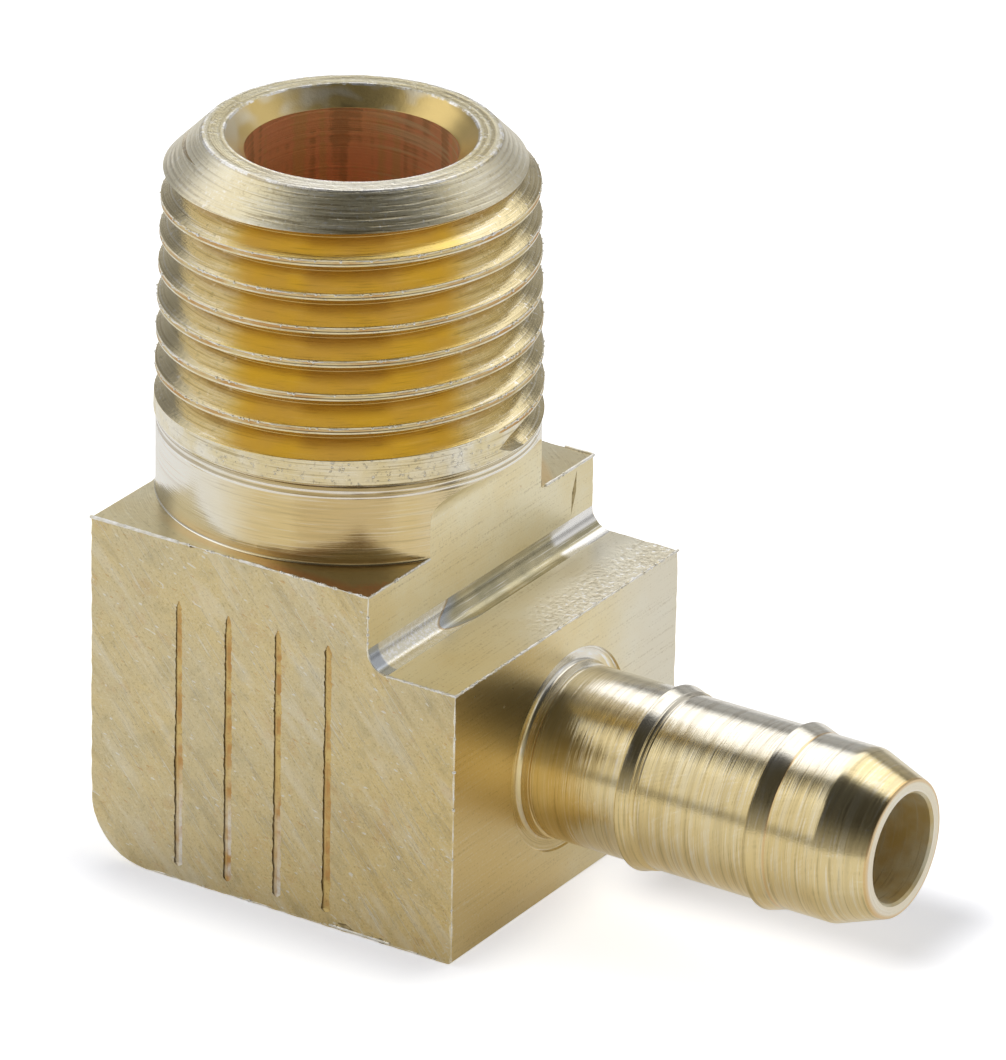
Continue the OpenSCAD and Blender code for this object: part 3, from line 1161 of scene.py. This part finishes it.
def drawConical(graph, place):  # chamfer, rim and countersink, cut in one coarse pass each
    tone, fine = patches(graph, place, "clean", "bright", 0.5, 12.0)
    x, y, z = axes(graph, place)
    radius = hypotenuse(x, y)
    around = x * 0.7 + y * 0.7
    lines = toolLines(graph, radius - z, around, conical["spacing"], 2.0)
    feed = graph.maths("SINE", (radius - z) * (fullTurn / 2 / conical["feed"]))
    feed = feed * (0.16 + graph.speckle(place, 0.8, 1.0) * 0.5)
    inSink = graph.smooth(radius, stub["sinkRadius"], stub["sinkRadius"] - 0.04)
    tone = graph.blend(inSink, tone, brass["gold"])
    onRim = graph.smooth(z, stub["rimZ"] - 0.06, stub["rimZ"] - 0.03)
    rings = graph.smooth(abs(radius - stub["rimRadius"]), 0.09, 0.04)
    rings = rings + graph.smooth(abs(radius - stub["sinkRadius"]), 0.08, 0.03)
    broken = graph.smooth(graph.speckle(place, 2.6, 3.0, 0.7), -0.1, 0.1)
    grit = graph.speckle(place, 8.0, 3.0, 0.7) * (1 - inSink)
    colour = shade(graph, tone, lines * 1.5 + feed * 0.6, 0.6, 0.6)
    # Painted light by the side that faces the camera: the chamfer paler away from it, the rim darker away
    # from it and whiter, a painted highlight, at its front
    ahead = facing(x, y)
    chamfer, rim = (1 - onRim) * (1 - inSink), onRim * (1 - inSink)
    colour = graph.blend(chamfer * graph.smooth(ahead, 0.95, 0.5) * 0.5, colour, brass["pale"])
    colour = graph.blend(rim * graph.smooth(ahead, 0.7, 0.0) * 0.35, colour, brass["olive"])
    colour = graph.blend(rim * graph.smooth(ahead, 0.6, 1.0) * 0.5, colour, brass["white"])
    colour = shade(graph, colour, grit, 0.3, 0.6, "white")
    colour = graph.blend(onRim * rings * broken, colour, brass["white"])
    return {
        "colour": colour,
        "roughness": conical["roughness"] + lines * 0.15 + fine * 0.15,
        "height": lines + feed + grit * onRim * 1.5 + fine * 0.3,
        "depth": conical["depth"],
    }


faced = {
    "roughness": 0.32,
    "depth": 0.005,
    "spacing": 0.05,
    "footRadius": 5.32,  # of the brown ring round the foot of the neck
}


def drawFaced(graph, place):
    tone, fine = patches(graph, place, "clean", "warm", 0.6, 12.0)
    x, y, z = axes(graph, place)
    # Painted reflections across the top, by x - y: silver at the rear left, olive over the middle, then
    # straw and copper towards the front right, where the neck is mirrored
    tone = graph.blend(graph.smooth(x - y, 3.0, -6.0) * 0.5, tone, brass["silver"])
    lines = toolLines(graph, hypotenuse(x, y), x * 0.7 - y * 0.7, faced["spacing"], 1.8)
    grit = graph.speckle(place, 6.0, 2.0, 0.6)
    foot = graph.smooth(abs(hypotenuse(x, y) - faced["footRadius"]), 0.3, 0.05) * graph.smooth(x, -4.0, -1.0)
    # Painted reflection of the neck, in copper, along the front edge and in the front right corner
    paintedNeckReflection = graph.smooth(y, block["frontY"] + 0.55, block["frontY"] + 0.15) * graph.smooth(x, 0.0, 2.0)
    corner = graph.maths("MAXIMUM", paintedNeckReflection, graph.smooth(x - y + grit, 8.6, 9.3))
    colour = shade(graph, tone, lines * 0.7 + grit * 0.7, 0.45, 0.45)
    colour = graph.blend(graph.smooth(x - y, 6.5, 4.0) * 0.38, colour, brass["olive"])
    colour = graph.blend(graph.smooth(x - y, 6.5, 8.0) * 0.6, colour, brass["straw"])
    colour = graph.blend(foot * 0.5, colour, brass["scratch"])
    colour = graph.blend(corner * 0.75, colour, brass["copper"])
    return {
        "colour": colour,
        "roughness": faced["roughness"] + fine * 0.2,
        "height": lines + grit * 1.2,
        "depth": faced["depth"],
    }


threadLook = {
    "roughness": 0.20,
    "depth": 0.0035,
    "spacing": 0.05,
}


def drawThread(graph, place):
    tone, fine = patches(graph, place, "yellow", "gold", 0.7, 12.0)
    x, y, z = axes(graph, place)
    radius = hypotenuse(x, y)
    around = x * 0.7 + y * 0.7
    lines = toolLines(graph, radius * 2 + z * 0.2, around, threadLook["spacing"] * 2, 1.6)
    # Painted light by the side that faces the camera: deep gold in the middle, where the flanks mirror each
    # other, paler sides, a dimmer right side and an umber front
    ahead = facing(x, y)
    sides = graph.smooth(ahead + graph.speckle(place, 0.9, 2.0) * 0.1, 0.84, 0.70)
    depth = stub["crestAtRim"] + (stub["rimZ"] - z) * stub["taper"] - radius
    # Painted shade: umber deep in the groove, towards its root
    deep = graph.smooth(depth + graph.speckle(place, 1.2, 2.0) * 0.12, 0.36, 0.62)
    tone = graph.blend(sides * 0.8, tone, graph.blend(0.3, brass["clean"], brass["pale"]))
    paintedRightShade = graph.blend(0.35, brass["warm"], brass["olive"])
    tone = graph.blend(graph.smooth(rightOf(x, y), 2.5, 4.5) * 0.6, tone, paintedRightShade)
    colour = shade(graph, tone, lines * (1 + sides * 0.8), 0.4, 0.12 + sides * 0.25, "white")
    front = graph.smooth(ahead + fine * 0.02, 0.955, 0.985)
    colour = graph.blend(front * graph.smooth(depth, 0.2, 0.5) * 0.4, colour, brass["umber"])
    colour = graph.blend(deep * 0.45, colour, brass["umber"])
    torn = graph.speckle(place, 5.0, 3.0, 0.7)
    colour = graph.blend(sides * graph.smooth(torn, -0.08, -0.18) * 0.45, colour, brass["olive"])
    colour = graph.blend(sides * graph.smooth(torn, 0.10, 0.20) * 0.6, colour, brass["white"])
    return {
        "colour": colour,
        "roughness": threadLook["roughness"] + lines * 0.1 + fine * 0.08,
        "height": lines + fine * 0.4 + torn * sides * 2,
        "depth": threadLook["depth"],
    }


bored = {
    "roughness": 0.34,
    "depth": 0.020,
    "spacing": 0.11,
}


def drawBored(graph, place):  # deep in the wide bore, brass sees only more brass and turns to copper red
    tone, fine = patches(graph, place, "copper", "gold", 0.35, 9.0)
    x, y, z = axes(graph, place)
    around = x * 0.9 - y * 0.7
    upright = graph.speckle(graph.turned(place, (0, 0, 0), (0.5, 0.5, 6.0)), 1.0, 1.0)
    lines = toolLines(graph, z + around * 0.12, around, bored["spacing"], 9.0)
    tone = graph.blend(0.65, tone, brass["copper"])
    colour = shade(graph, tone, lines * 0.5 + upright * 1.3, 0.5, 0.5, "gold")
    # Painted highlight: pale straw arcs on the right inner wall
    right = graph.smooth(x * 0.5 + y * 0.86, 1.3, 2.4)
    arcs = graph.smooth(toolLines(graph, z + around * 0.12, around, 0.17, 4.0, 1.0), 0.0, 0.12)
    colour = graph.blend(right * (0.1 + arcs * 0.6), colour, brass["straw"])
    return {
        "colour": colour,
        "metallic": 0.4,
        "roughness": bored["roughness"] + lines * 0.1,
        "height": lines + fine * 0.15,
        "depth": bored["depth"],
    }


def drawDrilled(graph, place):
    tone, fine = patches(graph, place, "bright", "gold", 0.8, 9.0)
    x, y, z = axes(graph, place)
    lines = toolLines(graph, x, y * 0.8 + z * 0.6, 0.12, 2.5)
    return {
        "colour": shade(graph, tone, lines, 0.4, 0.3),
        "metallic": 0.3,
        "roughness": 0.32 + fine * 0.15,
        "height": lines + fine * 0.4,
        "depth": 0.010,
    }


barbLook = {
    "roughness": 0.2,
    "depth": 0.0045,
    "fine": 0.05,
    "feed": 0.42,
}


def drawBarb(graph, place):
    tone, fine = patches(graph, place, "warm", "clean", 0.5, 12.0)
    x, y, z = axes(graph, place)
    up = z - barb["axisZ"]
    # Painted reflection: more gold below the top, where the tube mirrors the block
    tone = graph.blend(graph.smooth(up, 2.2, 0.6) * 0.45, tone, brass["gold"])
    around = y * 0.7 + z * 0.7
    radius = hypotenuse(y, up)
    # Painted highlight: silver along the top, short of the nose
    paintedTopHighlight = graph.smooth(up, 1.9, 2.3) * graph.smooth(x, barb["noseX"] - 1.12, barb["noseX"] - 1.72)
    tone = graph.blend(paintedTopHighlight * 0.7, tone, brass["silver"])
    lines = toolLines(graph, x + radius, around, barbLook["fine"], 1.6)
    feed = toolLines(graph, x, around, barbLook["feed"] / 2, 6.0, 0.0)
    hatch = graph.speckle(graph.turned(place, (0.5, 0.4, 0.6), (0.9, 0.05, 0.9)), 1.0, 1.0)
    colour = shade(graph, tone, lines * 1.1 + hatch * 0.2, 0.42, 0.34, "white")
    colour = shade(graph, colour, feed, 0.2, 0.2)
    colour = graph.blend(graph.smooth(hatch, 0.25, 0.33) * 0.3, colour, brass["white"])
    second = barb["ridgeBack"] + barb["ridgePitch"] + barb["ridgeLand"] + barb["ridgeFront"]
    feet = graph.smooth(abs(x - second), 0.05, 0.02)
    lip = graph.smooth(radius, barb["noseRadius"] - 0.12, barb["noseRadius"] - 0.04)
    feet = feet + graph.smooth(abs(x - (barb["noseX"] - 0.03)), 0.06, 0.03) * lip
    onEnd = graph.smooth(x, barb["noseX"] - 0.03, barb["noseX"] - 0.01)
    colour = graph.blend(onEnd * 0.5, colour, brass["silver"])
    colour = graph.blend(feet * 0.7, colour, brass["scratch"])
    # The faced ring's tool arcs, whiter on its upper part: a painted highlight
    onRing = graph.smooth(x, block["faceX"], block["faceX"] - 0.04)
    arcs = graph.smooth(toolLines(graph, radius, y, 0.16, 1.2), 0.02, 0.14)
    colour = graph.blend(onRing * arcs * graph.smooth(up, -1.5, 1.5), colour, brass["white"])
    return {
        "colour": colour,
        "roughness": barbLook["roughness"] + lines * 0.12 + fine * 0.1,
        "height": lines + feed * 1.1 + fine * 0.35,
        "depth": barbLook["depth"],
    }


def drawEdge(graph, place):
    tone, fine = patches(graph, place, "pale", "warm", 1.5, 18.0)
    return {"colour": tone, "roughness": 0.28 + fine * 0.2, "height": fine, "depth": 0.006}


def drawBurr(graph, place):  # torn metal, which catches light from every side
    tone, fine = patches(graph, place, "white", "pale", 3.0, 18.0)
    return {"colour": tone, "roughness": 0.38 + fine * 0.2, "height": fine, "depth": 0.004}


def drawScribed(graph, place):  # orange-brown in each line, painted as the reflections inside a groove, with a painted gold left wall and painted highlights low on the right
    tone, fine = patches(graph, place, "rust", "gold", 2.2, 10.0)
    x, y, z = axes(graph, place)
    spot = graph.maths("FRACT", (x - scribe["start"]) / scribe["pitch"] + 0.5)
    paintedLeftWall = graph.smooth(spot, 0.485, 0.465)
    rightSide = graph.smooth(spot, 0.490, 0.505)
    low = graph.smooth(z + graph.speckle(place, 0.5, 1.0) * 4, 4.4, 1.0)
    low = low * graph.smooth(x, 2.6, 2.0)
    # Painted highlight low down on the lines, most on their right walls
    paintedLowHighlight = (rightSide * 0.5 + 0.5) * low * graph.smooth(graph.speckle(place, 2.2, 2.0), -0.2, 0.05)
    colour = graph.blend(graph.smooth(fine, -0.03, -0.14) * 0.7, tone, brass["umber"])
    colour = graph.blend(paintedLeftWall * 0.5, colour, brass["gold"])
    colour = graph.blend(paintedLowHighlight * (0.75 + fine), colour, brass["silver"])
    return {"colour": colour, "roughness": 0.45 + fine * 0.2, "height": fine, "depth": 0.004}


def drawKnocked(graph, place):
    tone, fine = patches(graph, place, "tarnish_and_shade", "warm", 4.0, 14.0)
    return {"colour": tone, "metallic": 0.5, "roughness": 0.4 + fine * 0.2, "height": fine, "depth": 0.006}


finishes = {
    "sawn": brassFinish("sawn_brass", drawSawn),
    "drawn": brassFinish("drawn_brass", drawDrawn),
    "hollow": brassFinish("hollow_brass", drawHollow),
    "turned": brassFinish("turned_brass", drawTurned),
    "conical": brassFinish("chamfered_brass", drawConical),
    "faced": brassFinish("faced_brass", drawFaced),
    "thread": brassFinish("threaded_brass", drawThread),
    "bored": brassFinish("bored_brass", drawBored),
    "drilled": brassFinish("drilled_brass", drawDrilled),
    "barb": brassFinish("barb_brass", drawBarb),
    "crest": brassFinish("crest_brass", drawCrest),
    "channel": brassFinish("channel_brass", drawChannel),
    "edge": brassFinish("edge_brass", drawEdge),
    "burr": brassFinish("burred_brass", drawBurr),
    "scribed": brassFinish("scribed_brass", drawScribed),
    "knocked": brassFinish("knocked_brass", drawKnocked),
}
print("finishes ready")


elbow = makeElbow()
print("elbow made:", len(elbow.data.polygons), "faces")
burrPiece = makeBurrs()
print("burrs made:", len(burrPiece.data.polygons), "faces")


# Floor and studio

stage = {
    "floorSize": 4.0,
    "floorDrop": 0.02 * mm,
    "floorColour": (0.96, 0.96, 0.96, 1),
    "floorGlow": 0.78,  # lifts the floor to white for the camera
    "floorReflected": 0.27,
    "shaded": {  # rectangles of the floor that glow less, a painted shadow round the object: centre, half size, reach beyond it, share kept
        "block": ((0.8, -0.15), (5.25, 5.5), 3.0, 0.55),
        "barb": ((13.0, 3.2), (3.5, 1.0), 2.6, 0.25),
    },
}


def makeFloor():
    half = stage["floorSize"] / 2
    mesh = bpy.data.meshes.new("floor")
    corners = [(x * half, y * half, -stage["floorDrop"]) for x, y in ((-1, -1), (1, -1), (1, 1), (-1, 1))]
    mesh.from_pydata(corners, [], [(0, 1, 2, 3)])
    floor = bpy.data.objects.new("floor", mesh)
    bpy.context.scene.collection.objects.link(floor)
    material = bpy.data.materials.new("floor_white")
    material.use_nodes = True
    material.node_tree.nodes.clear()
    graph = Graph(material.node_tree)
    ray = graph.make("ShaderNodeLightPath", None, None, "Is Camera Ray")
    mirrored = graph.maths("MAXIMUM", ray.other("Is Glossy Ray"), ray.other("Is Transmission Ray"))
    glow = ray * stage["floorGlow"] + mirrored * stage["floorReflected"]
    paint = graph.make("ShaderNodeBsdfDiffuse", None, {"Color": stage["floorColour"]})
    coords = graph.make("ShaderNodeTexCoord", None, None, "Object")
    place = graph.make("ShaderNodeVectorMath", {"operation": "SCALE"}, {0: coords, "Scale": 1 / mm})
    x, y, z = axes(graph, place)
    # Painted shadow: the floor's glow is held back round the object
    paintedShadowTint = 1.0
    for centre, half, reach, share in stage["shaded"].values():
        sides = [(abs(x - centre[0]) - half[0]), (abs(y - centre[1]) - half[1])]
        sides = [graph.maths("MAXIMUM", side, 0.0) for side in sides]
        away = graph.smooth(hypotenuse(*sides), 0.0, reach)
        paintedShadowTint = (away * (1 - share) + share) * paintedShadowTint
    warmth = (1 - paintedShadowTint) * paintedShadowTint  # the painted shadow's edge glows bluer, to offset the warm light that the brass throws on the floor
    paintedShadowTint = graph.vector(paintedShadowTint, paintedShadowTint + warmth * 0.05, paintedShadowTint + warmth * 0.24)
    light = graph.make("ShaderNodeEmission", None, {"Color": paintedShadowTint, "Strength": glow})
    both = graph.make("ShaderNodeAddShader", None, {0: paint, 1: light})
    graph.make("ShaderNodeOutputMaterial", None, {"Surface": both})
    mesh.materials.append(material)
    return floor


# Soft light from round the object. Each panel is a rectangle in the sky: its azimuth and elevation in
# degrees, its half width and half height and the softness of its edge as tangents, and its strength.
studio = {
    "panels": {
        "left": (-160, 37, 0.46, 0.38, 0.12, 1.45),
        "far_left": (-119, 31, 0.28, 0.42, 0.10, 1.1),
        "behind": (110, 57, 0.54, 0.46, 0.12, 1.9),
        "behind_low": (133, 22, 0.10, 0.26, 0.06, 1.5),
        "horizon": (97, 16, 0.62, 0.14, 0.10, 0.58),
        "between": (163, 47, 0.17, 0.30, 0.10, 0.95),
        "right": (50, 32, 0.42, 0.38, 0.12, 0.92),
        "right_low": (-4, 19, 0.42, 0.18, 0.10, 0.95),
    },
    # Each half of the sky reckons only with the panels that reach it, which makes the render faster
    "leftHalf": ("left", "far_left", "behind", "behind_low", "horizon", "between"),
    "rightHalf": ("behind", "horizon", "right", "right_low"),
    "rightMiddle": 26,  # azimuth of the middle of the right half
    "skyLow": 0.5,  # strength of the sky at the horizon and above skyTop
    "skyHigh": 0.07,
    "skyTop": 0.72,  # sine of the elevation where the sky has become dark
    "ground": -0.02,  # and of that below which all is dark
}


def direction(azimuth, elevation):
    a, e = math.radians(azimuth), math.radians(elevation)
    return Vector((math.cos(a) * math.cos(e), math.sin(a) * math.cos(e), math.sin(e)))


def panelLight(graph, ray, panel):
    azimuth, elevation, halfWidth, halfHeight, edge, strength = panel
    centre = direction(azimuth, elevation)
    side = Vector((0, 0, 1)).cross(centre).normalized()
    ahead = graph.dot(ray, centre)
    across = abs(graph.dot(ray, side) / ahead)
    along = abs(graph.dot(ray, centre.cross(side)) / ahead)
    inside = graph.smooth(across, halfWidth + edge, halfWidth - edge, strength)
    return inside * graph.smooth(along, halfHeight + edge, halfHeight - edge)


def makeStudio():
    world = bpy.data.worlds.new("studio")
    bpy.context.scene.world = world
    world.use_nodes = True
    world.node_tree.nodes.clear()
    graph = Graph(world.node_tree)
    ray = graph.make("ShaderNodeTexCoord", None, None, "Generated")
    rise = graph.dot(ray, (0, 0, 1))
    high, low = studio["skyHigh"], studio["skyLow"]
    sky = graph.smooth(rise, studio["skyTop"], 0.0, low - high) + high
    halves = []
    for names in (studio["leftHalf"], studio["rightHalf"]):
        light = sky
        for name in names:
            light = graph.maths("MAXIMUM", light, panelLight(graph, ray, studio["panels"][name]))
        light = light * graph.smooth(rise, studio["ground"], 0.0)
        halves.append(graph.make("ShaderNodeBackground", None, {"Strength": light}))
    inRight = graph.maths("GREATER_THAN", graph.dot(ray, direction(studio["rightMiddle"], 0)), 0.0)
    lit = graph.make("ShaderNodeMixShader", None, {0: inRight, 1: halves[0], 2: halves[1]})
    seen = graph.make("ShaderNodeLightPath", None, None, "Is Camera Ray")
    white = graph.make("ShaderNodeBackground", None, {"Strength": 1.0})
    both = graph.make("ShaderNodeMixShader", None, {0: seen, 1: lit, 2: white})
    graph.make("ShaderNodeOutputWorld", None, {"Surface": both})


camera = {
    "aim": (4.254, 1.075, 9.354),
    "azimuth": 32.42,
    "elevation": 24.98,
    "roll": 1.067,
    "distance": 254.9,
    "frameHeight": 1060,
    "focal": 9554.7,  # in pixels of that height
    "sensor": 36.0,
}


def makeCamera():
    lens = bpy.data.cameras.new("camera")
    lens.sensor_width = camera["sensor"]
    lens.lens = camera["focal"] / camera["frameHeight"] * camera["sensor"]
    lens.clip_start = 0.01
    eye = bpy.data.objects.new("camera", lens)
    bpy.context.scene.collection.objects.link(eye)
    a, e = math.radians(camera["azimuth"]), math.radians(camera["elevation"])
    back = Vector((math.sin(a) * math.cos(e), -math.cos(a) * math.cos(e), math.sin(e)))
    level = Vector((math.cos(a), math.sin(a), 0))
    upright = back.cross(level)
    roll = math.radians(camera["roll"])
    right = level * math.cos(roll) + upright * math.sin(roll)
    up = upright * math.cos(roll) - level * math.sin(roll)
    place = (Vector(camera["aim"]) + back * camera["distance"]) * mm
    turn = Matrix((right, up, back)).transposed().to_4x4()
    eye.matrix_world = Matrix.Translation(place) @ turn
    bpy.context.scene.camera = eye


makeFloor()
makeStudio()
makeCamera()
bpy.context.scene.view_settings.view_transform = "Standard"
print("stage set")
